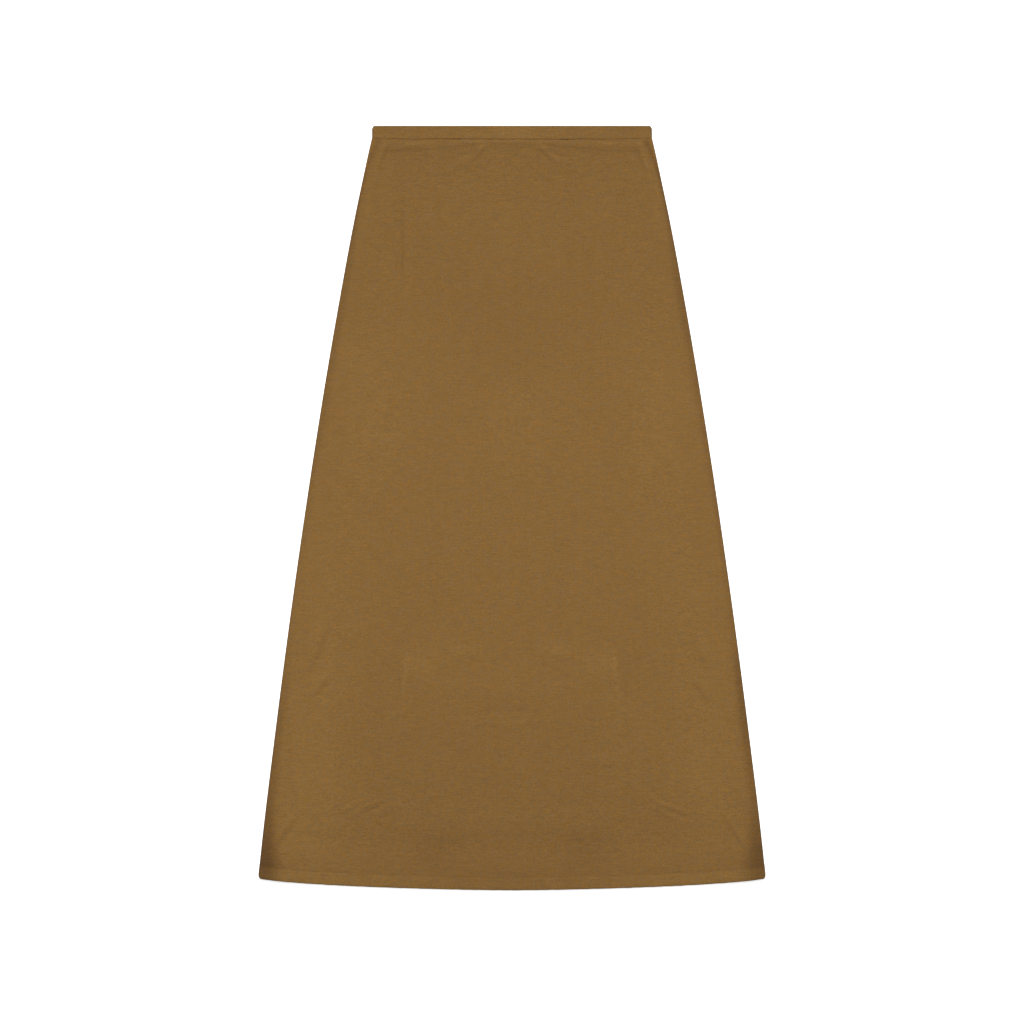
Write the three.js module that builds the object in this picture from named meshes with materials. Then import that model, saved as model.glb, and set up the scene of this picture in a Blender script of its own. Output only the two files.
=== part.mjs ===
// A pull-on A-line maxi skirt in knitted jersey, laid flat with its front up and its waist towards +Y.
// It is a tube of two panels, sewn at the sides, with a folded waistband and a turned-up hem.
// Millimetres, +Z up. The origin is on the surface that it lies on, under the middle of its box.
import * as THREE from "three";

// Driving dimensions
const garmentLength = 955; // top of the waistband to the hem, at centre front
const waistHalf = 175; // half the width of the laid waistband
const bandHeight = 15;
const bandWall = 2.4; // the waistband is folded double
const bandRoll = 2.6; // outer radius of the waistband where it turns at the sides
const waistDip = 1.5; // the waist seam is this much lower at the centre than at the sides
const hemTurnUp = 18;
const hemDip = 14; // the hem is this much lower at the centre than at the sides
const cornerRadius = 4; // rounding of the four corners of the laid outline
const clothWall = 1.0;
const hemSlit = 0.3; // between the hem and its turned-up layer
const seamGap = 0.3; // between two pieces that are sewn together
const rollLimit = 3.0; // largest radius at which the front turns down to the side seam
const sideSlope = 70; // width over which the front falls from its rolled sides to the middle
const foldsBelowWaist = 12; // the soft folds reach their full height this far below the waist seam
const foldsAboveHem = 42; // and lose it from here down to the turned-up hem

// The side seam of the laid skirt: half its width at each distance below the top, from waist seam to hem.
const sideSeam = [
  { below: 15, half: 175 },
  { below: 30, half: 178.5 },
  { below: 60, half: 185 },
  { below: 120, half: 197.5 },
  { below: 200, half: 212.5 },
  { below: 320, half: 233 },
  { below: 460, half: 255 },
  { below: 620, half: 278 },
  { below: 780, half: 298.5 },
  { below: 880, half: 310.5 },
  { below: 941, half: 317 },
];

// How high the cloth lies at the side seam, over the rolled sides and in the middle, and the width of the
// sides' shoulder. The seam allowance lifts the cloth under the waistband, and the double hem at the bottom.
const loft = [
  { below: 15, seam: 2.6, side: 5.0, middle: 4.9, shoulder: 3 },
  { below: 23, seam: 2.5, side: 4.9, middle: 4.6, shoulder: 3 },
  { below: 31, seam: 2.4, side: 4.7, middle: 3.2, shoulder: 4 },
  { below: 60, seam: 2.3, side: 4.7, middle: 2.8, shoulder: 5 },
  { below: 500, seam: 2.3, side: 4.8, middle: 2.7, shoulder: 6 },
  { below: 760, seam: 2.4, side: 5.4, middle: 2.8, shoulder: 8 },
  { below: 880, seam: 2.9, side: 6.9, middle: 3.4, shoulder: 12 },
  { below: 922, seam: 3.3, side: 8.0, middle: 5.0, shoulder: 15 },
  { below: 955, seam: 3.3, side: 8.0, middle: 5.0, shoulder: 15 },
];

// Soft swells and drag lines of the front: a ridge from one point to another, x to the right of the centre.
const softFolds = [
  { x0: -52, below0: 24, x1: -27, below1: 52, width: 9, rise: 0.5 }, // from the waist seam outwards
  { x0: 27, below0: 52, x1: 50, below1: 25, width: 9, rise: 0.5 },
  { x0: -168, below0: 34, x1: -176, below1: 75, width: 7, rise: 0.6 }, // beside the side seams
  { x0: 167, below0: 32, x1: 178, below1: 82, width: 7, rise: 0.7 },
  { x0: -205, below0: 250, x1: -218, below1: 440, width: 34, rise: 0.9 }, // over the hips
  { x0: 190, below0: 265, x1: 222, below1: 470, width: 36, rise: 1.0 },
  { x0: -120, below0: 655, x1: -40, below1: 672, width: 26, rise: 0.7 },
  { x0: 45, below0: 668, x1: 128, below1: 658, width: 24, rise: 0.7 },
  { x0: -268, below0: 640, x1: -238, below1: 735, width: 16, rise: 0.8 }, // drag lines at the sides
  { x0: 242, below0: 705, x1: 272, below1: 610, width: 18, rise: 0.7 },
  { x0: -255, below0: 872, x1: -205, below1: 825, width: 18, rise: 0.8 }, // up from the hem's corners
  { x0: 198, below0: 830, x1: 250, below1: 878, width: 17, rise: 0.9 },
  { x0: -60, below0: 800, x1: -52, below1: 900, width: 30, rise: 0.6 },
  { x0: 92, below0: 780, x1: 84, below1: 905, width: 32, rise: 0.6 },
];

// Where the mesh has its points: round the roll of a side in degrees, inwards from it, then to the middle.
const rollTurns = [0, 25, 50, 72, 90];
const sideInsets = [3, 8, 15, 25, 40, 60];
const frontShares = [0.18, 0.38, 0.6, 0.8];
const backShares = [0.33, 0.67];
const waistRows = [0, 2, 5, 8, 12, 17, 25, 36, 52, 75]; // down from the waist seam, at the side
const hemRows = [120, 88, 62, 42, 27, hemTurnUp, hemTurnUp / 2, 0]; // up from the hem, at the side
const middleRows = 15;
const foldSteps = 4;
const bandTopSteps = 26;
const bandTurnSteps = 6;

const hemFoldRadius = clothWall + hemSlit / 2;
const panelTop = bandHeight + seamGap;
const hemAtSide = garmentLength - hemDip - hemFoldRadius;
const lerp = THREE.MathUtils.lerp;
const radians = THREE.MathUtils.degToRad;

// A table's value at a distance below the top, on a smooth curve that doesn't overshoot its rows.
function along(rows, column, below) {
  const last = rows.length - 1;
  if (below <= rows[0].below) return rows[0][column];
  if (below >= rows[last].below) return rows[last][column];
  const chord = (i) => (rows[i + 1][column] - rows[i][column]) / (rows[i + 1].below - rows[i].below);
  const slope = (i) => {
    if (i === 0) return chord(0);
    if (i === last) return chord(last - 1);
    const [before, after] = [chord(i - 1), chord(i)];
    return before * after > 0 ? (2 * before * after) / (before + after) : 0;
  };
  const i = rows.findIndex((row) => row.below > below) - 1;
  const span = rows[i + 1].below - rows[i].below;
  const t = (below - rows[i].below) / span;
  const fromRow = (1 + 2 * t) * (1 - t) ** 2 * rows[i][column] + t * (1 - t) ** 2 * span * slope(i);
  const toRow = t * t * (3 - 2 * t) * rows[i + 1][column] - t * t * (1 - t) * span * slope(i + 1);
  return fromRow + toRow;
}

// How far a corner of the outline is rounded away at x, for a line that ends at half.
function cornerDrop(x, half) {
  const into = Math.max(0, Math.abs(x) - (half - cornerRadius));
  return cornerRadius - Math.sqrt(cornerRadius ** 2 - Math.min(into, cornerRadius) ** 2);
}

// The waist seam and the hem fold: their distance below the top at x, for a line that ends at half.
const waistLine = (x, half) => panelTop + waistDip * (1 - (x / half) ** 2);
const hemLine = (x, half) => hemAtSide + hemDip * (1 - (x / half) ** 2) - cornerDrop(x, half);

// The height that the soft folds add at a point of the front.
function foldRise(x, below) {
  let rise = 0;
  for (const fold of softFolds) {
    const [dx, dy] = [fold.x1 - fold.x0, fold.below1 - fold.below0];
    const long = Math.hypot(dx, dy);
    const t = ((x - fold.x0) * dx + (below - fold.below0) * dy) / long ** 2;
    const near = THREE.MathUtils.clamp(t, 0, 1);
    const away = Math.hypot(x - fold.x0 - near * dx, below - fold.below0 - near * dy);
    rise += fold.rise * Math.exp(-((away / fold.width) ** 2));
  }
  return rise;
}

// The stations across a panel, from the left side seam to the right one.
function stations(shares) {
  const half = [
    ...rollTurns.map((turn) => ({ turn, inset: 0, share: 0 })),
    ...sideInsets.map((inset) => ({ turn: 90, inset, share: 0 })),
    ...shares.map((share) => ({ turn: 90, inset: sideInsets.at(-1), share })),
  ];
  const left = half.map((station) => ({ ...station, side: -1 }));
  const right = half.map((station) => ({ ...station, side: 1 })).reverse();
  const centre = { turn: 90, inset: sideInsets.at(-1), share: 1, side: 1 };
  return [...left, centre, ...right];
}

// The rows down a panel, as distances below the top at its side.
function panelRows() {
  const rows = waistRows.map((down) => panelTop + down);
  const [from, to] = [rows.at(-1), hemAtSide - hemRows[0]];
  for (let k = 1; k <= middleRows; k++) rows.push(lerp(from, to, k / (middleRows + 1)));
  return [...rows, ...hemRows.map((up) => hemAtSide - up)];
}

// How far a station lies from the outermost line of its side.
function fromSide(station, roll, half) {
  const inset = roll * (1 - Math.cos(radians(station.turn))) + station.inset;
  return lerp(inset, half, station.share);
}

// A point of the front's upper surface.
function frontPoint(station, sideBelow) {
  const half = along(sideSeam, "half", sideBelow);
  const height = (column) => along(loft, column, sideBelow);
  const seamEdge = height("seam") + seamGap / 2;
  const roll = Math.min(height("side") - seamEdge, rollLimit);
  const inset = fromSide(station, roll, half);
  const x = station.side * (half - inset);
  const down = (sideBelow - panelTop) / (hemAtSide - panelTop);
  const below = lerp(waistLine(x, half), hemLine(x, half), down);
  const rise = height("side") - seamEdge - roll;
  const shoulder = THREE.MathUtils.smoothstep(inset, 0, roll + height("shoulder"));
  const fall = THREE.MathUtils.smoothstep(inset, roll + height("shoulder"), roll + sideSlope);
  const drop = (height("side") - height("middle")) * fall;
  const turned = roll * Math.sin(radians(station.turn));
  const clearOfSeams = THREE.MathUtils.smoothstep(inset, 0, 2 * rollLimit)
    * THREE.MathUtils.smoothstep(sideBelow - panelTop, 0, foldsBelowWaist)
    * THREE.MathUtils.smoothstep(hemAtSide - sideBelow, hemTurnUp, foldsAboveHem);
  const z = seamEdge + turned + rise * shoulder - drop + foldRise(x, below) * clearOfSeams;
  return new THREE.Vector3(x, garmentLength / 2 - below, z);
}

// A point of the back's under surface, which lies flat and turns up to the side seams.
function backPoint(station, sideBelow) {
  const half = along(sideSeam, "half", sideBelow);
  const roll = along(loft, "seam", sideBelow) - seamGap / 2;
  const x = station.side * (half - fromSide(station, roll, half));
  const down = (sideBelow - panelTop) / (hemAtSide - panelTop);
  const below = lerp(waistLine(x, half), hemLine(x, half), down);
  const z = roll * (1 - Math.sin(radians(station.turn)));
  return new THREE.Vector3(x, garmentLength / 2 - below, station.turn === 90 ? 0 : z);
}

// For each point of a grid of rows, the outward normal and the direction down the cut.
// The wall's edges are square to the seams: upright at the waist and level at the sides.
function framesOf(grid) {
  return grid.map((row, j) =>
    row.map((point, i) => {
      const across = new THREE.Vector3().subVectors(
        row[Math.min(i + 1, row.length - 1)],
        row[Math.max(i - 1, 0)],
      );
      const down = new THREE.Vector3().subVectors(
        grid[Math.min(j + 1, grid.length - 1)][i],
        grid[Math.max(j - 1, 0)][i],
      );
      const normal = new THREE.Vector3().crossVectors(down, across);
      if (i === 0 || i === row.length - 1) {
        normal.set(-down.y, down.x, 0).multiplyScalar(Math.sign(point.x));
      }
      if (j === 0) normal.y = 0;
      normal.normalize();
      down.addScaledVector(normal, -down.dot(normal)).normalize();
      return { point, normal, down };
    }),
  );
}

// A closed wall between two grids of the same size: its outer face, its inner face and the rim.
function wallGeometry(outer, inner) {
  const [rows, columns] = [outer.length, outer[0].length];
  const positions = [...outer.flat(), ...inner.flat()].flatMap((point) => point.toArray());
  const out = (j, i) => j * columns + i;
  const inn = (j, i) => rows * columns + j * columns + i;
  const faces = [];
  const quad = (a, b, c, d) => faces.push(a, b, c, a, c, d);
  for (let j = 0; j < rows - 1; j++) {
    for (let i = 0; i < columns - 1; i++) {
      quad(out(j, i), out(j + 1, i), out(j + 1, i + 1), out(j, i + 1));
      quad(inn(j, i), inn(j, i + 1), inn(j + 1, i + 1), inn(j + 1, i));
    }
    quad(out(j, 0), inn(j, 0), inn(j + 1, 0), out(j + 1, 0));
    quad(out(j, columns - 1), out(j + 1, columns - 1), inn(j + 1, columns - 1), inn(j, columns - 1));
  }
  for (let i = 0; i < columns - 1; i++) {
    quad(out(0, i), out(0, i + 1), inn(0, i + 1), inn(0, i));
    quad(out(rows - 1, i), inn(rows - 1, i), inn(rows - 1, i + 1), out(rows - 1, i + 1));
  }
  return solidGeometry(positions, faces);
}

function solidGeometry(positions, faces) {
  const geometry = new THREE.BufferGeometry();
  geometry.setAttribute("position", new THREE.Float32BufferAttribute(positions, 3));
  geometry.setIndex(faces);
  geometry.computeVertexNormals();
  return geometry;
}

// A panel as one wall of cloth: down its face, round the hem fold and up the turned-up layer inside.
function panelGeometry(pointOn, across) {
  const grid = panelRows().map((sideBelow) => across.map((station) => pointOn(station, sideBelow)));
  const frames = framesOf(grid);
  const inwards = (frame, depth) => frame.point.clone().addScaledVector(frame.normal, -depth);
  const outer = frames.map((row) => row.map((frame) => inwards(frame, 0)));
  const inner = frames.map((row) => row.map((frame) => inwards(frame, clothWall)));
  for (let k = 1; k < foldSteps; k++) {
    const [aside, ahead] = [Math.cos((Math.PI * k) / foldSteps), Math.sin((Math.PI * k) / foldSteps)];
    const onFold = (frame, radius) =>
      inwards(frame, hemFoldRadius - radius * aside).addScaledVector(frame.down, radius * ahead);
    outer.push(frames.at(-1).map((frame) => onFold(frame, hemFoldRadius)));
    inner.push(frames.at(-1).map((frame) => onFold(frame, hemFoldRadius - clothWall)));
  }
  const turnedUp = hemRows.length - hemRows.indexOf(hemTurnUp);
  for (const row of frames.slice(-turnedUp).reverse()) {
    outer.push(row.map((frame) => inwards(frame, 2 * clothWall + hemSlit)));
    inner.push(row.map((frame) => inwards(frame, clothWall + hemSlit)));
  }
  return wallGeometry(outer, inner);
}

// The waistband's outline round the flattened tube, as points with their outward normals.
function bandLoop() {
  const straight = waistHalf - bandRoll;
  const loop = [];
  for (const up of [1, -1]) {
    for (let k = 0; k <= bandTopSteps; k++) {
      const x = up * lerp(-straight, straight, k / bandTopSteps);
      loop.push({ x, z: bandRoll * (1 + up), nx: 0, nz: up });
    }
    for (let k = 1; k < bandTurnSteps; k++) {
      const turn = (Math.PI * k) / bandTurnSteps;
      const [nx, nz] = [up * Math.sin(turn), up * Math.cos(turn)];
      loop.push({ x: up * straight + bandRoll * nx, z: bandRoll * (1 + nz), nx, nz });
    }
  }
  return loop;
}

// The waistband's section: depth into the cloth and distance below the top, up its face and over the fold.
function bandSection() {
  const fold = bandWall / 2;
  const section = [{ depth: 0, share: 1 }, { depth: 0, share: 0.5 }];
  for (let k = 0; k <= foldSteps; k++) {
    const turn = (Math.PI * k) / foldSteps;
    section.push({ depth: fold * (1 - Math.cos(turn)), share: 0, above: fold * Math.sin(turn) });
  }
  return [...section, { depth: bandWall, share: 0.5 }, { depth: bandWall, share: 1 }];
}

function waistbandGeometry() {
  const [loop, section] = [bandLoop(), bandSection()];
  const positions = [];
  const faces = [];
  for (const { x, z, nx, nz } of loop) {
    const lower = bandHeight + waistDip * (1 - (x / waistHalf) ** 2);
    const upper = bandWall / 2 + cornerDrop(x, waistHalf);
    for (const { depth, share, above = 0 } of section) {
      const below = lerp(upper, lower, share) - above;
      positions.push(x - nx * depth, garmentLength / 2 - below, z - nz * depth);
    }
  }
  for (let i = 0; i < loop.length; i++) {
    const next = (i + 1) % loop.length;
    for (let j = 0; j < section.length; j++) {
      const after = (j + 1) % section.length;
      const [a, b] = [i * section.length + j, next * section.length + j];
      const [c, d] = [next * section.length + after, i * section.length + after];
      faces.push(a, b, c, a, c, d);
    }
  }
  return solidGeometry(positions, faces);
}

const jersey = new THREE.MeshStandardMaterial({ color: 0x866439, roughness: 0.9, metalness: 0 });
const bandJersey = new THREE.MeshStandardMaterial({ color: 0x84623a, roughness: 0.9, metalness: 0 });

function piece(name, geometry, material) {
  const mesh = new THREE.Mesh(geometry, material);
  mesh.name = name;
  return mesh;
}

const skirt = new THREE.Group();
const frontStations = stations(frontShares);
const backStations = stations(backShares).reverse();
skirt.add(piece("front_panel", panelGeometry(frontPoint, frontStations), jersey));
skirt.add(piece("back_panel", panelGeometry(backPoint, backStations), jersey));
skirt.add(piece("waistband", waistbandGeometry(), bandJersey));

export default skirt;
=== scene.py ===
import math

import bpy
import numpy as np
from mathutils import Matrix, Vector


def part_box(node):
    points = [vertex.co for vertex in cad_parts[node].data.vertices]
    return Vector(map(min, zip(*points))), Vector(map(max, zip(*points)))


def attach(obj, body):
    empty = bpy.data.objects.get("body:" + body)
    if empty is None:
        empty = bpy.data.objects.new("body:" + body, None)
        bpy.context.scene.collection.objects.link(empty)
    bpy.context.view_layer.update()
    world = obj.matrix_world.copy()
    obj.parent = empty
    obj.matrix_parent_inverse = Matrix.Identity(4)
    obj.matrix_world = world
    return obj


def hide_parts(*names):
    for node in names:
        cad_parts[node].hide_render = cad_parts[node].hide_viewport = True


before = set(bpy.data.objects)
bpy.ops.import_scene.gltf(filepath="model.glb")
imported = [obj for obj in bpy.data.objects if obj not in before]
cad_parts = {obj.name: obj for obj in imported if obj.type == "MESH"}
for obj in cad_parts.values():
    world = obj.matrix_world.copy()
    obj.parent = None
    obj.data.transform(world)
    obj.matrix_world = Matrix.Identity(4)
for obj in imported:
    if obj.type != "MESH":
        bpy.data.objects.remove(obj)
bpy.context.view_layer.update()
print("frame loaded with nodes", sorted(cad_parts))

# The skirt lies flat with its front up and its waist towards +Y, in metres.
mm = 0.001
halfPi = math.pi / 2
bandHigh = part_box("waistband")[1]
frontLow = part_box("front_panel")[0]

skirt = {
    "top": bandHigh.y,  # the fold of the waistband
    "length": bandHigh.y - frontLow.y + 0.5 * mm,  # to the lowest point of the hem
    "waistHalf": bandHigh.x,
    "bandHeight": 15.5 * mm,
    "waistDip": 0.85 * mm,  # the waist seam is this much lower at the centre
    "waistPower": 6,  # and turns up only at its ends
    "hemTurnUp": 18 * mm,
    "hemDip": 14.4 * mm,  # the hem is this much lower at the centre
    "hemBow": ((0.75, 1.6), (0.28, 7)),  # shares and powers: a shallow bow, and more at its ends
    "hemRipple": {"waves": (13, 17, 29), "seed": 41},
    "cornerRadius": 4 * mm,
    "wall": 1.0 * mm,
    "hemSlit": 0.3 * mm,  # between the hem and its turned-up layer
    "seamGap": 0.06 * mm,  # the sewn pieces all but touch at their seams
    "stitchUp": 15 * mm,  # the hem stitching above the fold of the hem
    "rollLimit": 3.0 * mm,  # largest radius at which the front turns down to a side seam
    "sideZone": 60 * mm,  # finely divided strip along each side
    "sideSlope": 70 * mm,  # over which the front falls from its sides to the middle
    "sideEdge": 1.9 * mm,  # the darkest strip, along the very edge
    "stripCore": 0.25,  # the outer share of a dark strip, at its full depth
    "sideCrowding": 1.5,  # the stations crowd together towards the sides
    "leastRow": 0.2 * mm,
    "turnSlack": 0.1 * mm,  # rows this far past the hem's turn-up still belong to it
    "rollSteps": 8,
    "foldSteps": 8,
    "innerEvery": 3,  # the inner face has every third point
    "seamDitch": 0.30 * mm,  # along the side seams
    "ditchTurn": 0.5,  # and reaches this far round the rolled side, in radians
    "creaseTurn": 0.8,  # the creases begin here
    "rowSpread": {"seam": 0.06, "stitch": 0.2},  # rows are further apart away from these
}

# Half the laid width, down the side seam, in millimetres.
sideSeam = [
    dict(below=15, half=175.2),
    dict(below=30, half=178.7),
    dict(below=60, half=185.2),
    dict(below=120, half=197.7),
    dict(below=200, half=212.6),
    dict(below=320, half=233.3),
    dict(below=460, half=255.2),
    dict(below=620, half=278),
    dict(below=780, half=298.6),
    dict(below=880, half=310.7),
    dict(below=941, half=317.2),
]

# How high the cloth lies at the side seam, over its rolled sides and in the middle, and how far in
# from the roll the sides reach their height, in millimetres.
loft = [
    dict(below=15, seam=2.6, side=5, middle=4.9, shoulder=3),
    dict(below=23, seam=2.5, side=4.9, middle=4.75, shoulder=3),
    dict(below=31, seam=2.4, side=4.7, middle=4.3, shoulder=4),
    dict(below=60, seam=2.3, side=4.7, middle=3.4, shoulder=5),
    dict(below=115, seam=2.3, side=4.7, middle=2.8, shoulder=5),
    dict(below=500, seam=2.3, side=4.8, middle=2.7, shoulder=6),
    dict(below=760, seam=2.4, side=5.4, middle=2.8, shoulder=8),
    dict(below=880, seam=2.9, side=6.9, middle=3.4, shoulder=12),
    dict(below=922, seam=3.3, side=8, middle=5, shoulder=15),
    dict(below=955, seam=3.3, side=8, middle=5, shoulder=15),
]

# The waist seam wanders a little, lower or higher by these amounts across the waist, in millimetres.
seamWander = [
    dict(x=-121, lower=0.35),
    dict(x=-93, lower=-0.4),
    dict(x=-59, lower=-0.25),
    dict(x=58, lower=0.3),
    dict(x=120, lower=0.3),
]
wanderWidth = 12

hemFold = skirt["wall"] + skirt["hemSlit"] / 2
panelTop = skirt["bandHeight"] + skirt["seamGap"]
hemAtSide = skirt["length"] - skirt["hemDip"] - hemFold
panelRun = hemAtSide - panelTop


def smoothStep(value, low, high):
    t = np.clip((value - low) / (high - low), 0, 1)
    return t * t * (3 - 2 * t)


# A smooth curve through a column of a table. It doesn't overshoot the rows.
def tableCurve(rows, column, below, unit=mm):
    at = np.array([row["below"] for row in rows]) * mm
    value = np.array([row[column] for row in rows]) * unit
    chord = np.diff(value) / np.diff(at)
    slope = np.concatenate([chord[:1], np.zeros(len(rows) - 2), chord[-1:]])
    before, after = chord[:-1], chord[1:]
    rising = before * after > 0
    both = np.where(rising, before + after, 1)
    slope[1:-1] = np.where(rising, 2 * before * after / both, 0)
    below = np.clip(below, at[0], at[-1])
    k = np.clip(np.searchsorted(at, below, side="right") - 1, 0, len(rows) - 2)
    span = at[k + 1] - at[k]
    t = (below - at[k]) / span
    start = (1 + 2 * t) * (1 - t) ** 2 * value[k] + t * (1 - t) ** 2 * span * slope[k]
    end = t * t * (3 - 2 * t) * value[k + 1] - t * t * (1 - t) * span * slope[k + 1]
    return start + end


# A soft peak at no distance, this wide.
def nearness(distance, width, power=2):
    return np.exp(-((distance / width) ** power))


def cornerDrop(x, half):  # how far a corner of the outline is rounded away
    radius = skirt["cornerRadius"]
    into = np.clip(np.abs(x) - (half - radius), 0, radius)
    return radius - np.sqrt(radius**2 - into**2)


def waistDrop(x, half):
    wander = sum(place["lower"] * nearness(x / mm - place["x"], wanderWidth) for place in seamWander)
    return skirt["waistDip"] * (1 - (x / half) ** skirt["waistPower"]) + wander * mm


def waistLine(x, half):
    return panelTop + waistDrop(x, half)


def hemLine(x, half):
    bow = 1 - sum(share * (np.abs(x) / half) ** power for share, power in skirt["hemBow"])
    return hemAtSide + skirt["hemDip"] * bow - cornerDrop(x, half)


# Fine unevenness along a line: a few sine waves of odd lengths, in millimetres, and random starts.
def unevenness(along, look):
    starts = np.random.default_rng(look["seed"]).uniform(0, 2 * math.pi, len(look["waves"]))
    turns = [2 * math.pi * along / (length * mm) for length in look["waves"]]
    return sum(np.sin(turn + start) for turn, start in zip(turns, starts)) / math.sqrt(len(turns))


def unevenShare(along, look):
    share = look["mean"] + look["uneven"] * unevenness(along, look)
    return np.clip(share, look.get("least", 0), look.get("most", 2))


# Creases at points x, below: soft strokes with tapered ends, gentle on their upper side
# and steeper on their lee where that is given. Their tables are in millimetres, and a run is x and
# the distance below the top, first at its start and then at its end. The cloth rises by "rise" and
# its tone changes by "shade".
# A crease's shade is painted light and shade along it.
def creaseRelief(x, below, creases):
    x, below = x / mm, below / mm
    rise, shade = np.zeros_like(x), np.zeros_like(x)
    for crease in creases:
        begins, fades = crease.get("begins", 0.35), crease.get("fades", 0.4)
        for x0, y0, x1, y1 in crease["runs"]:
            long = math.hypot(x1 - x0, y1 - y0)
            ax, ay = (x1 - x0) / long, (y1 - y0) / long
            t = ((x - x0) * ax + (below - y0) * ay) / long
            aside = (x - x0) * ay - (below - y0) * ax - crease.get("bow", 0) * 4 * t * (1 - t)
            width = np.where(aside * ax < 0, crease.get("lee", crease["width"]), crease["width"])
            taper = smoothStep(t, 0, begins) * (1 - smoothStep(t, 1 - fades, 1))
            stroke = taper * nearness(aside, width)
            rise += crease["rise"] * stroke
            shade += crease.get("shade", 0) * stroke
    return rise * mm, shade


# Painted shade where the cloth turns away at the sides: how wide and how deep down each side.
def sideShade(surface, rows):
    below = surface["below"]
    left, right = tableCurve(rows, "left", below, 1), tableCurve(rows, "right", below, 1)
    depth = np.where(surface["x"] < 0, left, right)
    strip, edge = tableCurve(rows, "strip", below), tableCurve(rows, "edge", below, 1)
    fromSide = surface["fromSide"]
    shade = depth * (1 - smoothStep(fromSide, skirt["stripCore"] * strip, strip))
    return shade + edge * nearness(fromSide, skirt["sideEdge"])


def addObject(name, data):
    added = bpy.data.objects.new(name, data)
    bpy.context.scene.collection.objects.link(added)
    return added


def sideDitch(turn):
    return skirt["seamDitch"] * (1 - smoothStep(turn, 0, skirt["ditchTurn"]))


def makeMesh(name, points, faces, material, paintedLightAndTone=None, sharpAngle=math.radians(62)):
    mesh = bpy.data.meshes.new(name)
    mesh.from_pydata(points.tolist(), [], faces)
    mesh.shade_smooth()
    if sharpAngle is not None:
        mesh.set_sharp_from_angle(angle=sharpAngle)
    # Painted light and shade per point, which the jersey multiplies into its colour.
    if paintedLightAndTone is not None:
        mesh.attributes.new("paintedLightAndTone", "FLOAT", "POINT").data.foreach_set("value", paintedLightAndTone.astype(np.float32))
    mesh.materials.append(material)
    return addObject(name, mesh)


def gridQuads(index):
    corners = [index[:-1, :-1], index[1:, :-1], index[1:, 1:], index[:-1, 1:]]
    return np.stack(corners, axis=-1).reshape(-1, 4)


def everyFew(count, few):
    return sorted({*range(0, count, few), count - 1})


# One closed wall from its outer and inner points, with a rim all round. Its inner face has fewer points.
def makeWall(name, outer, inner, few, material, paintedLightAndTone):
    rows, columns = outer.shape[:2]
    index = np.arange(rows * columns).reshape(rows, columns)
    rowsKept, columnsKept = everyFew(rows, few), everyFew(columns, few)
    kept = np.ix_(rowsKept, columnsKept)
    innerIndex = np.full((rows, columns), -1)
    keptIndex = np.arange(len(rowsKept) * len(columnsKept)).reshape(len(rowsKept), -1)
    innerIndex[kept] = keptIndex + rows * columns
    faces = gridQuads(index).tolist() + gridQuads(innerIndex[kept][:, ::-1]).tolist()
    around = [(index[:, 0], innerIndex[:, 0]), (index[-1], innerIndex[-1])]
    around += [(index[::-1, -1], innerIndex[::-1, -1]), (index[0, ::-1], innerIndex[0, ::-1])]
    for edge, innerEdge in around:
        stops = np.flatnonzero(innerEdge >= 0)
        for here, after in zip(stops[:-1], stops[1:]):
            faces.append([edge[here], innerEdge[here], innerEdge[after], *edge[after:here:-1]])
    points = np.concatenate([outer.reshape(-1, 3), inner[kept].reshape(-1, 3)])
    return makeMesh(name, points, faces, material, np.concatenate([paintedLightAndTone.ravel(), paintedLightAndTone[kept].ravel()]))


# Shader node groups. Every material gives them its own numbers.
def newGroup(name, inputs, outputs):
    group = bpy.data.node_groups.new(name, "ShaderNodeTree")
    for label, kind, value in inputs:
        socket = group.interface.new_socket(name=label, in_out="INPUT", socket_type=kind)
        if value is not None:
            socket.default_value = value
    for label, kind in outputs:
        group.interface.new_socket(name=label, in_out="OUTPUT", socket_type=kind)
    return group, group.nodes.new("NodeGroupInput"), group.nodes.new("NodeGroupOutput")


def feed(tree, node, values):  # each value is a number or another node's output
    for key, value in values.items():
        if isinstance(value, bpy.types.NodeSocket):
            tree.links.new(value, node.inputs[key])
        else:
            node.inputs[key].default_value = value


def mathNode(tree, operation, *values):
    node = tree.nodes.new("ShaderNodeMath")
    node.operation = operation
    feed(tree, node, dict(enumerate(values)))
    return node.outputs[0]


def mixColour(tree, blend, factor, first, second):
    node = tree.nodes.new("ShaderNodeMix")
    node.data_type, node.blend_type = "RGBA", blend
    feed(tree, node, {0: factor, 6: first, 7: second})
    return node.outputs[2]


# Rows of V-shaped knit loops: wales run along Y, courses across.
knitLoop = {"rise": 0.6, "low": 0.4}


def makeKnitGroup():
    inputs = [
        ("Vector", "NodeSocketVector", None),
        ("Wale", "NodeSocketFloat", 0.9 * mm),
        ("Course", "NodeSocketFloat", 0.7 * mm),
        ("Slant", "NodeSocketFloat", 0.9),
    ]
    group, given, result = newGroup("jerseyKnit", inputs, [("Height", "NodeSocketFloat")])
    parts = group.nodes.new("ShaderNodeSeparateXYZ")
    group.links.new(given.outputs["Vector"], parts.inputs[0])
    across = mathNode(group, "FRACT", mathNode(group, "DIVIDE", parts.outputs["X"], given.outputs["Wale"]))
    lean = mathNode(group, "ABSOLUTE", mathNode(group, "SUBTRACT", across, 0.5))
    courses = mathNode(group, "DIVIDE", parts.outputs["Y"], given.outputs["Course"])
    slanted = mathNode(group, "MULTIPLY_ADD", lean, given.outputs["Slant"], courses)
    loop = mathNode(group, "SINE", mathNode(group, "MULTIPLY", mathNode(group, "FRACT", slanted), math.pi))
    swing = mathNode(group, "SINE", mathNode(group, "MULTIPLY", across, 2 * math.pi))
    leg = mathNode(group, "ABSOLUTE", swing)
    lifted = mathNode(group, "MULTIPLY_ADD", loop, knitLoop["rise"], knitLoop["low"])
    group.links.new(mathNode(group, "MULTIPLY", leg, lifted), result.inputs["Height"])
    return group


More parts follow.
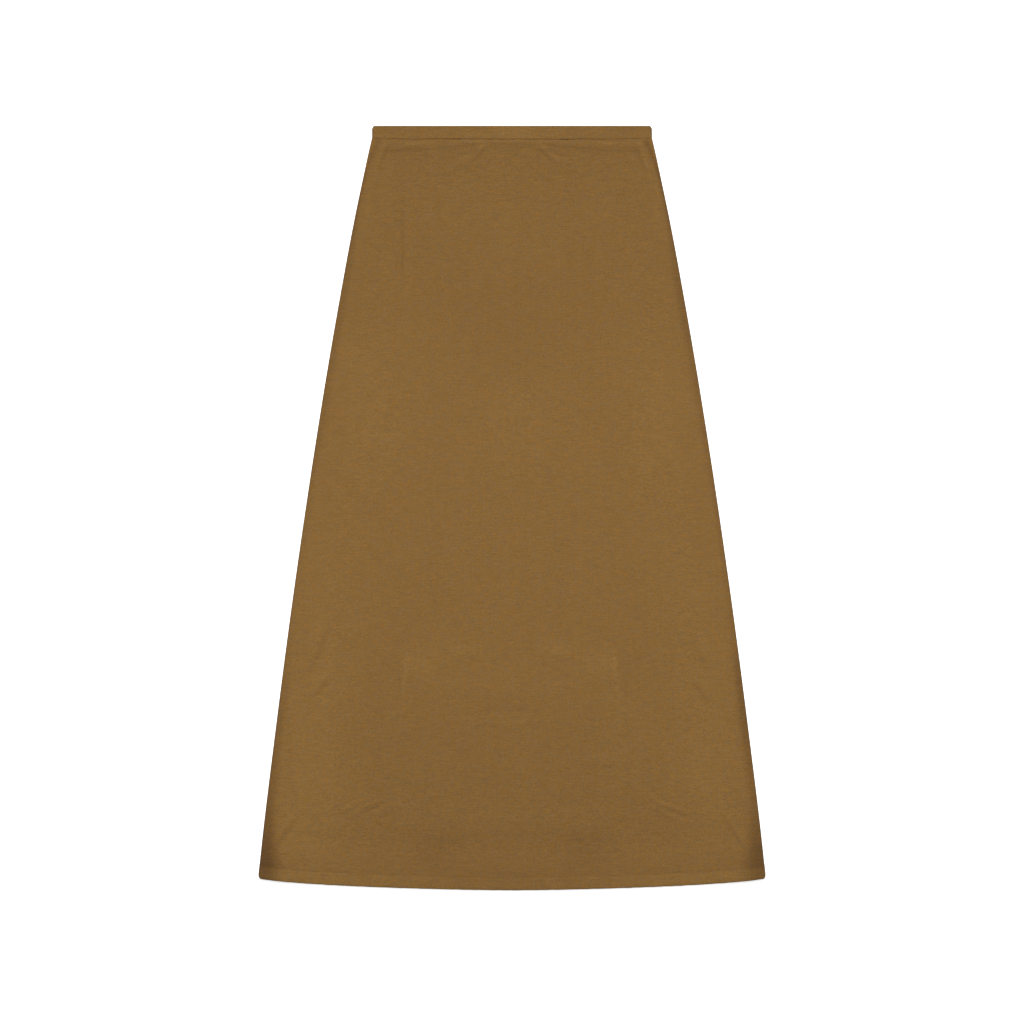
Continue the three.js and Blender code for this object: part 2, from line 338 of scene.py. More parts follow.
# The yarn's unevenness: light, dark, warm and grey flecks along the courses, faint streaks down the
# wales and a soft mottle.
yarnNoise = {"roughness": 0.72, "patches": (240.0, 160.0), "from": 0.42, "to": 0.70}


def makeYarnGroup():
    inputs = [("Vector", "NodeSocketVector", None)]
    inputs += [(label, "NodeSocketFloat", 0.05) for label in ("Fleck", "Dash", "Streak", "Mottle")]
    outputs = [("Warm", "NodeSocketFloat"), ("Grey", "NodeSocketFloat"), ("Tone", "NodeSocketFloat")]
    group, given, result = newGroup("jerseyYarn", inputs, outputs)

    def stretchedNoise(across, along, shift, detail):
        place = group.nodes.new("ShaderNodeVectorMath")
        place.operation = "MULTIPLY_ADD"
        stretch = (across, along, across)
        feed(group, place, {0: given.outputs["Vector"], 1: stretch, 2: (shift, shift, shift)})
        noise = group.nodes.new("ShaderNodeTexNoise")
        look = {"Scale": 1.0, "Detail": detail, "Roughness": yarnNoise["roughness"]}
        feed(group, noise, dict(look, Vector=place.outputs[0]))
        return noise.outputs["Fac"]

    for label, shift in (("Warm", 0.0), ("Grey", 31.0)):
        spread = group.nodes.new("ShaderNodeMapRange")
        spread.interpolation_type = "SMOOTHSTEP"
        patches = stretchedNoise(*yarnNoise["patches"], shift, 1.0)
        feed(group, spread, {"Value": patches, "From Min": yarnNoise["from"], "From Max": yarnNoise["to"]})
        group.links.new(spread.outputs["Result"], result.inputs[label])
    paintedLightAndTone = 1.0
    layers = [("Fleck", 420.0, 900.0, 3.0), ("Dash", 80.0, 800.0, 2.0)]
    layers += [("Streak", 150.0, 7.0, 2.0), ("Mottle", 26.0, 34.0, 4.0)]
    for label, across, along, detail in layers:
        centred = mathNode(group, "SUBTRACT", stretchedNoise(across, along, 57.0, detail), 0.5)
        paintedLightAndTone = mathNode(group, "MULTIPLY_ADD", centred, given.outputs[label], paintedLightAndTone)
    group.links.new(paintedLightAndTone, result.inputs["Tone"])
    return group


knitGroup = makeKnitGroup()
yarnGroup = makeYarnGroup()

panelJersey = {
    "colour": (0.206, 0.1085, 0.0284, 1),
    "warm": (0.238, 0.110, 0.019, 1),
    "grey": (0.188, 0.110, 0.042, 1),
    "warmShare": 0.5,
    "greyShare": 0.5,
    "fleck": 1.05,
    "dash": 0.50,
    "streak": 0.07,
    "mottle": 0.07,
    "shadedRed": 0.92,  # where painted shade darkens the jersey it is a little redder: the power of the painted light and tone in red, green and blue
    "shadedGreen": 1.03,
    "shadedBlue": 1.06,
    "wale": 0.9 * mm,
    "course": 0.7 * mm,
    "knitDepth": 0.12 * mm,
    "knitStrength": 0.6,
    "roughness": 0.9,
    "specular": 0.2,
    "sheen": 0.05,
    "sheenSpread": 0.5,
}
bandJersey = dict(panelJersey, wale=0.86 * mm, course=0.66 * mm)


def makeJersey(name, look):
    material = bpy.data.materials.new(name)
    material.use_nodes = True
    tree = material.node_tree
    shader = tree.nodes["Principled BSDF"]
    place = tree.nodes.new("ShaderNodeTexCoord").outputs["Object"]
    knit = tree.nodes.new("ShaderNodeGroup")
    knit.node_tree = knitGroup
    feed(tree, knit, {"Vector": place, "Wale": look["wale"], "Course": look["course"]})
    yarn = tree.nodes.new("ShaderNodeGroup")
    yarn.node_tree = yarnGroup
    feed(tree, yarn, {"Vector": place, "Fleck": look["fleck"], "Dash": look["dash"]})
    feed(tree, yarn, {"Streak": look["streak"], "Mottle": look["mottle"]})
    warmShare = mathNode(tree, "MULTIPLY", yarn.outputs["Warm"], look["warmShare"])
    greyShare = mathNode(tree, "MULTIPLY", yarn.outputs["Grey"], look["greyShare"])
    dyeAndPaintedLight = mixColour(tree, "MIX", warmShare, look["colour"], look["warm"])
    dyeAndPaintedLight = mixColour(tree, "MIX", greyShare, dyeAndPaintedLight, look["grey"])
    # The dyed colour is multiplied by painted light and shade from the mesh, a little redder where darker,
    # and by the yarn's tone.
    painted = tree.nodes.new("ShaderNodeAttribute")
    painted.attribute_name = "paintedLightAndTone"
    shades = tree.nodes.new("ShaderNodeCombineColor")
    for channel, label in zip(shades.inputs, ("shadedRed", "shadedGreen", "shadedBlue")):
        shaded = mathNode(tree, "POWER", painted.outputs["Fac"], look[label])
        tree.links.new(mathNode(tree, "MULTIPLY", shaded, yarn.outputs["Tone"]), channel)
    dyeAndPaintedLight = mixColour(tree, "MULTIPLY", 1.0, dyeAndPaintedLight, shades.outputs[0])
    bump = tree.nodes.new("ShaderNodeBump")
    feed(tree, bump, {"Strength": look["knitStrength"], "Distance": look["knitDepth"]})
    feed(tree, bump, {"Height": knit.outputs["Height"]})
    feed(tree, shader, {"Base Color": dyeAndPaintedLight, "Normal": bump.outputs["Normal"]})
    feed(tree, shader, {"Roughness": look["roughness"], "Specular IOR Level": look["specular"]})
    feed(tree, shader, {"Sheen Weight": look["sheen"], "Sheen Roughness": look["sheenSpread"]})
    return material


panelMaterial = makeJersey("panelJersey", panelJersey)
bandMaterial = makeJersey("bandJersey", bandJersey)
print("jersey materials made")


# The stations across a panel and the rows down it. Rows crowd together at the waist seam and at
# the stitching.
def panelStations(panel):
    turns = np.linspace(0, halfPi, skirt["rollSteps"] + 1)
    insets = np.linspace(0, 1, panel["insetSteps"] + 1)[1:] ** skirt["sideCrowding"]
    insets = skirt["sideZone"] * insets
    shares = np.linspace(0, 1, panel["middleSteps"] + 1)[1:]
    turn = np.concatenate([turns, np.full(len(insets) + len(shares), halfPi)])
    inset = np.concatenate([np.zeros(len(turns)), insets, np.full(len(shares), insets[-1])])
    share = np.concatenate([np.zeros(len(turns) + len(insets)), shares])
    side = np.where(share < 1, -1.0, 0.0)
    stations = ((turn, 1), (inset, 1), (share, 1), (side, -1))
    return [np.concatenate([half, sign * half[-2::-1]]) for half, sign in stations]


def panelDowns(panel):
    downs = [0.0]
    stitchAt = panelRun - skirt["stitchUp"]
    spread = skirt["rowSpread"]
    while downs[-1] < panelRun - skirt["leastRow"]:
        here = downs[-1]
        steps = [panel["bodyStep"], panel["seamStep"] + spread["seam"] * here]
        steps += [panel["stitchStep"] + spread["stitch"] * abs(stitchAt - here)]
        steps += [zone["step"] for zone in panel["fineZones"] if zone["from"] < here < zone["to"]]
        downs.append(min(here + min(steps), panelRun))
    downs[-1] = panelRun
    return np.array(downs)


# The panel's smooth surface, before its creases: points and what the creases need to know about them.
def panelSurface(panel):
    turn, inset, share, side = panelStations(panel)
    downs = panelDowns(panel)[:, None]
    sideBelow = panelTop + downs
    half = tableCurve(sideSeam, "half", sideBelow)
    seam = tableCurve(loft, "seam", sideBelow)
    if panel["isFront"]:
        seamEdge = seam + skirt["seamGap"] / 2
        roll = np.minimum(tableCurve(loft, "side", sideBelow) - seamEdge, skirt["rollLimit"])
    else:
        roll = seam - skirt["seamGap"] / 2
    fromSide = roll * (1 - np.cos(turn)) + inset
    fromSide = fromSide + (half - fromSide) * share
    x = side * (half - fromSide)
    top, bottom = waistLine(x, half), hemLine(x, half)
    below = top + (bottom - top) * downs / panelRun
    if panel["isFront"]:
        shoulderEnd = roll + tableCurve(loft, "shoulder", sideBelow)
        sideHeight = tableCurve(loft, "side", sideBelow)
        fall = sideHeight - tableCurve(loft, "middle", sideBelow)
        z = seamEdge + roll * np.sin(turn)
        z = z + (sideHeight - seamEdge - roll) * smoothStep(fromSide, 0, shoulderEnd)
        z = z - fall * smoothStep(fromSide, shoulderEnd, roll + skirt["sideSlope"])
    else:
        z = roll * (1 - np.sin(turn)) + 0 * x
    points = np.stack([x, skirt["top"] - below, z], axis=-1)
    surface = {"points": points, "x": x, "below": below, "fromSide": fromSide + 0 * x, "turn": turn + 0 * x}
    surface["fromWaist"] = downs + 0 * x
    surface["fromHem"] = panelRun - surface["fromWaist"]
    if not panel["isFront"]:
        surface = {key: value[:, ::-1] for key, value in surface.items()}
    return surface


def unit(vectors):
    return vectors / np.linalg.norm(vectors, axis=-1, keepdims=True)


# Outward normals, and the direction down the cloth. The edges are square to the seams.
def surfaceFrames(points):
    across = np.gradient(points, axis=1)
    down = np.gradient(points, axis=0)
    normal = np.cross(down, across)
    for column in (0, -1):
        level = np.stack([-down[:, column, 1], down[:, column, 0], 0 * down[:, column, 0]], axis=-1)
        normal[:, column] = level * np.sign(points[:, column, :1])
    normal[0, :, 1] = 0
    normal = unit(normal)
    down = unit(down - normal * np.sum(down * normal, axis=-1, keepdims=True))
    return normal, down


# A panel with its relief: down its face, round the hem fold and up the turned-up layer inside.
def makePanel(name, panel, material):
    surface = panelSurface(panel)
    normal, down = surfaceFrames(surface["points"])
    relief, paintedLightAndTone = panel["relief"](surface)
    wall, slit = skirt["wall"], skirt["hemSlit"]
    outerRows = [surface["points"] + normal * relief[..., None]]
    innerRows = [surface["points"] - normal * wall]
    paintedLightAndTones = [paintedLightAndTone]
    last = {"point": surface["points"][-1], "normal": normal[-1], "down": down[-1]}
    swell = relief[-1][:, None]
    ripple = panel["hemRipple"] * unevenness(surface["x"][-1], skirt["hemRipple"])[:, None]
    foldSteps = skirt["foldSteps"]
    for k in range(1, foldSteps):
        aside, ahead = math.cos(math.pi * k / foldSteps), math.sin(math.pi * k / foldSteps)
        centre = last["point"] - last["normal"] * hemFold
        spoke = last["normal"] * aside + last["down"] * ahead
        keep = swell * (1 + aside) / 2 + ripple * ahead
        outerRows.append((centre + spoke * (hemFold + keep))[None])
        innerRows.append((centre + spoke * (hemFold - wall))[None])
        # Painted light along the fold of the hem.
        paintedLightAndTones.append(paintedLightAndTone[-1:] + panel["foldShade"] * ahead)
    turned = surface["fromHem"][:, 0] <= skirt["hemTurnUp"] + skirt["turnSlack"]
    points, sideways = surface["points"][turned][::-1], normal[turned][::-1]
    outerRows.append(points - sideways * (2 * wall + slit))
    innerRows.append(points - sideways * (wall + slit))
    paintedLightAndTones.append(paintedLightAndTone[turned][::-1])
    outer, inner = np.concatenate(outerRows), np.concatenate(innerRows)
    piece = makeWall(name, outer, inner, skirt["innerEvery"], material, np.concatenate(paintedLightAndTones))
    stitchRow = int(np.argmin(np.abs(surface["fromHem"][:, 0] - skirt["stitchUp"])))
    return piece, outerRows[0][stitchRow], normal[stitchRow]


# The front panel.
frontPanel = {
    "isFront": True,
    "insetSteps": 24,
    "middleSteps": 96,
    "bodyStep": 5.5 * mm,
    "seamStep": 0.12 * mm,
    "stitchStep": 0.4 * mm,
    "fineZones": [  # closer rows where there are drag lines
        {"from": 590 * mm, "to": 712 * mm, "step": 2.4 * mm},
        {"from": 815 * mm, "to": 890 * mm, "step": 2.2 * mm},
    ],
    "foldShade": 0.30,  # painted light along the fold of the hem, where it also catches light from the floor
    # The ditch along the waist seam: uneven, less open at the sides and pulled at every seam stitch.
    # It has deeper places, and breaks where it closes up, in millimetres across. Its shade is painted shade
    # in the ditch.
    "ditch": {"depth": 0.34 * mm, "width": 1.3 * mm, "widthUneven": 0.3, "power": 1.5, "shade": -0.26,
              "open": 0.62, "sidesLess": 0.2, "uneven": 0.25, "waves": (14, 23, 41), "seed": 11,
              "pulled": 0.35, "pitch": 7.5 * mm, "least": 0.05, "most": 1.3},
    "deeps": [{"x": -70, "more": 1.2, "width": 12}, {"x": 70, "more": 0.6, "width": 12}],
    "breaks": {"width": 2.2, "less": 0.85,
               "places": [-127, -105, -84, -56, -37, -21, -4, 14, 33, 56, 82, 104, 131]},
    # The cloth lies lower at the seam and swells up below it.
    "swell": {"height": 0.26 * mm, "length": 6 * mm, "sidesLess": 0.95, "least": 0.45, "openMore": 0.9},
    "lip": {"shade": -0.022, "from": 0.3, "full": 0.6, "near": 3 * mm, "far": 6 * mm},  # painted shade by its ends
    "pucker": {"height": 0.10 * mm, "peak": 3 * mm, "waves": (7, 11, 17), "seed": 13},
    # The step where the seam allowance ends underneath.
    "allowance": {"centre": 6.9 * mm, "side": 15.3 * mm, "from": 0.15, "to": 0.85, "slope": 4.6 * mm,
                  "step": 0.42 * mm, "middle": 0.65, "end": 168 * mm, "endFade": 12 * mm,
                  "start": 3 * mm, "startMore": 7 * mm,
                  "rises": [{"from": 0.1, "to": 0.6, "more": 0.35}, {"from": 0.7, "to": 0.85, "more": 0.25}]},
    "groove": {"depth": 0.03 * mm, "width": 0.7 * mm, "mean": 0.6, "uneven": 0.45, "least": 0.15,
               "most": 1.1, "waves": (37, 61, 97), "seed": 15},  # under the hem stitches
    # The hem puffs up below its stitching, and painted light makes it lighter there and towards its fold.
    "puff": {"height": 0.20 * mm, "slope": 3.5 * mm, "edge": 3 * mm, "mean": 0.8, "uneven": 0.3,
             "waves": (31, 53), "seed": 14},
    "hemShade": {"centre": 0.03, "side": 0.12, "from": 60 * mm, "to": 220 * mm, "edge": 0.07,
                 "edgeWidth": 11 * mm, "uneven": 0.016, "waves": (17, 27, 43), "seed": 16},
    "hemRipple": 0.08 * mm,
}

# The dark strips of painted shade down its sides, in millimetres: left and right are the depths of shade.
frontSides = [
    dict(below=15, strip=3, edge=0, left=0, right=0),
    dict(below=45, strip=4, edge=-0.02, left=0, right=-0.02),
    dict(below=65, strip=6, edge=-0.18, left=-0.08, right=-0.16),
    dict(below=95, strip=7, edge=-0.3, left=-0.15, right=-0.16),
    dict(below=218, strip=14, edge=-0.11, left=-0.15, right=-0.19),
    dict(below=343, strip=12, edge=-0.08, left=-0.13, right=-0.14),
    dict(below=468, strip=9, edge=-0.1, left=-0.09, right=-0.12),
    dict(below=593, strip=10, edge=-0.11, left=-0.025, right=-0.08),
    dict(below=718, strip=13, edge=-0.1, left=-0.12, right=-0.22),
    dict(below=843, strip=16, edge=-0.09, left=-0.24, right=-0.19),
    dict(below=890, strip=24, edge=-0.08, left=-0.4, right=-0.31),
    dict(below=905, strip=28, edge=-0.07, left=-0.46, right=-0.36),
    dict(below=925, strip=34, edge=-0.05, left=-0.5, right=-0.39),
    dict(below=955, strip=36, edge=-0.05, left=-0.47, right=-0.36),
]

# Creases of the front, with painted light and shade along them.
frontCreases = [
    # fans under the waist seam, and faint lines that follow them
    dict(runs=[(-30, 29, -3, 30.5), (3, 30.5, 30, 29)], width=1.5, rise=-0.1, shade=-0.01, bow=1.5),
    dict(runs=[(-56, 37, -96, 68)], width=3, lee=2, rise=0.3, bow=2),
    dict(runs=[(60, 38, 98, 66)], width=3, lee=2, rise=0.3, bow=-2),
    dict(runs=[(-34, 45, -52, 66), (36, 46, 50, 70)], width=2.6, rise=-0.2, shade=-0.02),
    dict(runs=[(-75, 28, -112, 36), (78, 28, 110, 35)], width=3, lee=2, rise=0.25),
    dict(runs=[(-29, 22, -78, 61)], width=4, lee=2.4, rise=0.65, begins=0.1, fades=0.75, bow=2),
    dict(runs=[(30, 23, 78, 60)], width=4, lee=2.4, rise=0.6, begins=0.1, fades=0.75, bow=-1.5),
    dict(runs=[(-44, 32, -71, 41.5), (45, 32, 72, 41.5)], width=2.8, rise=-0.5),
    dict(runs=[(-47, 28.5, -34, 26.5), (34, 26.5, 47, 28.5)], width=2.4, rise=0.45, shade=0.05),
    dict(runs=[(-56, 26, -34, 22), (33, 22, 58, 26)], width=1.8, rise=-0.2, shade=-0.03),
    dict(runs=[(-32, 41.5, -26, 42), (25.5, 41.5, 31, 42)], width=2.2, rise=0.5),
    # a ridge and a hollow beside each side, down from the waistband
    dict(runs=[(-157, 17, -178, 88), (158, 17, 179, 90)],
     width=3.2, rise=0.55, shade=0.06, begins=0.1, fades=0.6),
    dict(runs=[(-163.5, 16, -188, 84)], width=2.6, rise=-0.4, shade=-0.17, bow=-4, begins=0.1),
    dict(runs=[(165, 17, 189, 84)], width=2.8, rise=-0.5, shade=-0.22, bow=3, begins=0.1),
    dict(runs=[(-154, 23, -170, 62)], width=2.2, rise=-0.35, shade=-0.11, begins=0.2),
    dict(runs=[(153, 23, 170, 66)], width=2.2, rise=-0.35, shade=-0.1, begins=0.2),
    dict(runs=[(-176, 60, -184, 145), (176, 62, 186, 150)], width=3, rise=0.3, shade=0.04),
    dict(runs=[(189, 130, 212, 245)], width=6, rise=-0.1, shade=-0.035),
    # small bulges over the seam allowance
    dict(runs=[(-135, 24, -109, 23.7), (106, 23.6, 134, 23.9)], width=1.8, rise=0.38, shade=0.07),
    # the dark foot of the allowance's step
    dict(runs=[(-164, 31, -98, 30)], width=2.6, rise=-0.1, shade=-0.05, begins=0.15),
    dict(runs=[(164, 31, 98, 29.4)], width=2.4, rise=-0.1, shade=-0.03, begins=0.15),
    # one long vertical crease
    dict(runs=[(-138, 96, -138, 200)], width=2, rise=-0.35, shade=-0.09, bow=1.5, fades=0.2),
    # broad folds over the hips and down the middle
    dict(runs=[(-186, 225, -172, 500)], width=36, rise=0.9, shade=0.055),
    dict(runs=[(190, 235, 178, 510)], width=36, rise=1, shade=0.055),
    dict(runs=[(4, 290, 4, 460)], width=56, rise=0.5, shade=0.03),
    dict(runs=[(0, 150, 0, 370)], width=66, rise=-0.2, shade=-0.045),
    dict(runs=[(-96, 95, -96, 280)], width=50, rise=-0.1, shade=-0.03),
    dict(runs=[(96, 110, 96, 300)], width=45, rise=-0.1, shade=-0.022),
    dict(runs=[(0, 830, 0, 1010)], width=120, rise=-0.2, shade=-0.03, begins=0.4, fades=0.01),
    dict(runs=[(-200, 300, -272, 970)], width=44, rise=0.8, shade=0.125, begins=0.88, fades=0.12),
    dict(runs=[(198, 300, 268, 970)], width=44, rise=0.8, shade=0.105, begins=0.9, fades=0.2),
    dict(runs=[(-200, 760, -222, 900)], width=30, rise=0.2, shade=0.035),
    dict(runs=[(210, 730, 226, 880)], width=36, rise=0.2, shade=0.03),
    dict(runs=[(140, 690, 150, 850)], width=26, rise=0.2, shade=0.04),
    dict(runs=[(-230, 866, 230, 866)], width=16, rise=0.15, shade=0.025),
    # drag lines at the sides
    dict(runs=[(-228, 620, -256, 682)], width=9, lee=3, rise=0.9),
    dict(runs=[(-220, 678, -256, 722)], width=8, lee=2.8, rise=0.75),
    dict(runs=[(218, 626, 244, 680)], width=8, lee=2.8, rise=0.8),
    dict(runs=[(226, 688, 246, 724)], width=8, lee=3, rise=0.65),
    dict(runs=[(200, 605, 211, 650)], width=6, lee=3, rise=0.35),
    dict(runs=[(-225, 612, -262, 706)], width=2.8, rise=-0.3, shade=-0.05, bow=2, begins=0.15),
    dict(runs=[(-197, 640, -211, 676)], width=2.6, rise=-0.25, shade=-0.03),
    dict(runs=[(-220, 680, -254, 724)], width=2.8, rise=-0.3, shade=-0.05, begins=0.15),
    dict(runs=[(219, 620, 243, 684)], width=2.8, rise=-0.3, shade=-0.05, bow=-1, begins=0.15),
    dict(runs=[(200, 614, 221, 668)], width=2.6, rise=-0.25, shade=-0.035, bow=-1),
    dict(runs=[(222, 688, 244, 723)], width=2.8, rise=-0.3, shade=-0.05),
    dict(runs=[(272, 625, 295, 810)], width=5, rise=-0.1, shade=-0.07),
    dict(runs=[(-276, 655, -292, 800)], width=4.5, rise=-0.1, shade=-0.025),
    # a shallow pressed square in the lower middle
    dict(runs=[(-84, 657, -30, 658), (26, 658, 82, 657)], width=8, rise=0.4, shade=0.065),
    dict(runs=[(-70, 697, -34, 697), (33, 697, 68, 697)], width=6, rise=0.15, shade=0.03),
    dict(runs=[(-137, 680, -78, 666), (134, 680, 76, 666)],
     width=15, rise=0.4, shade=0.065, begins=0.08, fades=0.8),
    dict(runs=[(-94, 620, -94, 740)], width=32, rise=0.1, shade=0.03),
    dict(runs=[(92, 620, 92, 740)], width=30, rise=0.1, shade=0.03),
    dict(runs=[(-70, 694, 72, 694)], width=22, rise=0.2, shade=0.035),
    dict(runs=[(-130, 644, -139, 745), (126, 644, 136, 745)], width=3.2, rise=0.4, shade=0.085, begins=0.25),
    dict(runs=[(-136, 728, -160, 744), (134, 728, 160, 748)], width=3, rise=0.3, shade=0.03),
    dict(runs=[(-144, 650, -143, 740), (142, 652, 143, 736)], width=6, rise=-0.15, shade=-0.012),
    dict(runs=[(-80, 742, 80, 742)], width=4, rise=0.25, shade=0.022, begins=0.2, fades=0.2),
    dict(runs=[(-58, 731, 54, 731)], width=3, rise=-0.15, shade=-0.03),
    dict(runs=[(-29, 752, -31, 800), (27, 752, 30, 800)], width=3, rise=0.15, shade=0.02),
    dict(runs=[(-59, 748, -60, 805), (62, 748, 64, 805)], width=5, rise=-0.1, shade=-0.03),
    dict(runs=[(86, 792, 136, 793)], width=5, lee=2.8, rise=0.5, shade=0.03),
    # strokes fanning up from the hem's corners
    dict(runs=[(-170, 835, -222, 861), (154, 833, 230, 867)], width=5, lee=2.8, rise=0.6),
    dict(runs=[(-158, 841, -209, 867)], width=5, lee=2.8, rise=0.5),
    dict(runs=[(-136, 847, -176, 863)], width=5, lee=3, rise=0.4),
    dict(runs=[(164, 845, 218, 873)], width=5, lee=2.8, rise=0.45),
    dict(runs=[(-267, 854, -300, 904)], width=5, lee=2.6, rise=0.8, shade=0.035),
    dict(runs=[(261, 852, 300, 913)], width=5, lee=2.6, rise=0.65, shade=0.03),
    dict(runs=[(-180, 838, -222, 852), (-154, 848, -206, 862)], width=2.6, rise=-0.3, shade=-0.045),
    dict(runs=[(172, 835, 214, 854), (186, 850, 228, 869)], width=2.6, rise=-0.3, shade=-0.045),
    dict(runs=[(-262, 856, -296, 908)], width=2.6, rise=-0.3, shade=-0.07, begins=0.2),
    dict(runs=[(257, 855, 296, 915)], width=2.6, rise=-0.2, shade=-0.035, begins=0.2),
    # above the hem: lighter strips towards the sides, and two hollows
    dict(runs=[(-292, 923, -80, 935)], width=7, rise=0, shade=0.032, begins=0.15),
    dict(runs=[(292, 923, 80, 935)], width=6, rise=0, shade=0.015, begins=0.15),
    dict(runs=[(-94, 875, -94, 945), (91, 872, 91, 945)], width=30, rise=-0.4, shade=-0.07),
]


def ditchOpenness(x, share):  # how open the waist seam's ditch is
    ditch, breaks = frontPanel["ditch"], frontPanel["breaks"]
    pulled = ditch["pulled"] * np.sin(2 * math.pi * x / ditch["pitch"])
    openness = ditch["open"] - ditch["sidesLess"] * share**2 + ditch["uneven"] * unevenness(x, ditch) + pulled
    openness = np.clip(openness, ditch["least"], ditch["most"])
    for place in frontPanel["deeps"]:
        openness = openness * (1 + place["more"] * nearness(x / mm - place["x"], place["width"], 4))
    for place in breaks["places"]:
        openness = openness * (1 - breaks["less"] * nearness(x / mm - place, breaks["width"]))
    return openness


def allowanceStep(x, share, fromWaist):
    allowance = frontPanel["allowance"]
    lower = smoothStep(share, allowance["from"], allowance["to"])
    edge = allowance["centre"] + (allowance["side"] - allowance["centre"]) * lower
    stepDown = smoothStep(fromWaist, edge - allowance["slope"] / 2, edge + allowance["slope"] / 2)
    rises = [row["more"] * smoothStep(share, row["from"], row["to"]) for row in allowance["rises"]]
    step = allowance["step"] * (allowance["middle"] + sum(rises))
    step = step * (1 - smoothStep(np.abs(x), allowance["end"] - allowance["endFade"], allowance["end"]))
    begun = smoothStep(fromWaist, 0, allowance["start"] + allowance["startMore"] * share)
    return step * (1 - stepDown) * begun


def frontRelief(surface):
    x, below = surface["x"], surface["below"]
    fromWaist, fromHem, turn = surface["fromWaist"], surface["fromHem"], surface["turn"]
    share = np.clip(np.abs(x) / skirt["waistHalf"], 0, 1)
    onTop = smoothStep(turn, skirt["creaseTurn"], halfPi)

    ditch, swell, lip, pucker = (frontPanel[key] for key in ("ditch", "swell", "lip", "pucker"))
    openness = ditchOpenness(x, share)
    width = ditch["width"] * (1 + ditch["widthUneven"] * unevenness(x, ditch))
    into = (1 - smoothStep(fromWaist, 0, width)) ** ditch["power"]
    relief = -ditch["depth"] * openness * into
    # Painted shade in the ditch, and by the seam's ends.
    paintedLightAndTone = 1 + ditch["shade"] * openness * into
    nearSeam = 1 - smoothStep(fromWaist, lip["near"], lip["far"])
    paintedLightAndTone += lip["shade"] * smoothStep(share, lip["from"], lip["full"]) * nearSeam
    relief -= sideDitch(turn)
    low = swell["height"] * (1 - swell["sidesLess"] * share**2)
    low = low * (swell["least"] + swell["openMore"] * openness)
    relief -= low * (1 - smoothStep(fromWaist, 0, swell["length"])) * onTop
    away = fromWaist / pucker["peak"]
    relief += pucker["height"] * unevenness(x, pucker) * onTop * away * np.exp(1 - away)
    relief += allowanceStep(x, share, fromWaist) * onTop

    groove, puff, hemShade = (frontPanel[key] for key in ("groove", "puff", "hemShade"))
    fromStitches = fromHem - skirt["stitchUp"]
    relief -= groove["depth"] * unevenShare(x, groove) * nearness(fromStitches, groove["width"])
    under = 1 - smoothStep(fromHem, skirt["stitchUp"] - puff["slope"], skirt["stitchUp"])
    relief += puff["height"] * under * smoothStep(fromHem, 0, puff["edge"]) * unevenShare(x, puff)
    # Painted light on the hem below its stitching and towards its fold.
    sideways = smoothStep(np.abs(x), hemShade["from"], hemShade["to"])
    lightened = hemShade["centre"] + (hemShade["side"] - hemShade["centre"]) * sideways
    paintedLightAndTone += under * (lightened + hemShade["uneven"] * unevenness(x, hemShade))
    paintedLightAndTone += hemShade["edge"] * (1 - smoothStep(fromHem, 0, hemShade["edgeWidth"]))

    # The creases' painted light and shade, and the painted shade down the sides.
    rise, shade = creaseRelief(x, below, frontCreases)
    return relief + rise * onTop, paintedLightAndTone + shade * onTop + sideShade(surface, frontSides)


frontPanel["relief"] = frontRelief
frontPiece, frontLine, frontOut = makePanel("frontPanel", frontPanel, panelMaterial)
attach(frontPiece, "root")
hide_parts("front_panel")
print("front panel made,", len(frontPiece.data.polygons), "faces")


# The back panel, flat on the surface. Its creases only press upwards.
backPanel = {
    "isFront": False,
    "insetSteps": 16,
    "middleSteps": 70,
    "bodyStep": 7.0 * mm,
    "seamStep": 0.15 * mm,
    "stitchStep": 0.5 * mm,
    "fineZones": [{"from": 800 * mm, "to": 890 * mm, "step": 3.0 * mm}],
    # painted light along the fold of the hem
    "foldShade": 0.10,
    "ditch": {"depth": 0.7 * mm, "width": 1.4 * mm, "power": 1.5, "shade": -0.2, "mean": 0.8,
              "uneven": 0.2, "least": 0.3, "most": 1, "waves": (19, 31, 52), "seed": 21},
    "groove": {"depth": 0.28 * mm, "width": 0.9 * mm},
    "hemRipple": 0.10 * mm,
    "edge": {"shade": -0.12, "width": 4 * mm},
}

# Creases of the back, with painted shade along them.
backCreases = [
    dict(runs=[(-38, 26, -78, 62), (44, 26, 80, 58)], width=4, rise=-0.5, begins=0.12, fades=0.7),
    dict(runs=[(-162, 18, -180, 92), (160, 18, 179, 84)], width=3.2, rise=-0.4, shade=-0.06),
    dict(runs=[(120, 110, 124, 230)], width=3, rise=-0.35, shade=-0.04),
    dict(runs=[(-240, 640, -214, 700)], width=5, rise=-0.5),
    dict(runs=[(236, 700, 210, 640)], width=5, rise=-0.45),
    dict(runs=[(-232, 872, -170, 838), (222, 870, 160, 840)], width=4.5, rise=-0.5),
    dict(runs=[(-200, 880, -150, 852)], width=4.5, rise=-0.4),
    dict(runs=[(60, 560, 66, 700)], width=24, rise=-0.5),
    dict(runs=[(-84, 300, -92, 440)], width=28, rise=-0.5),
]


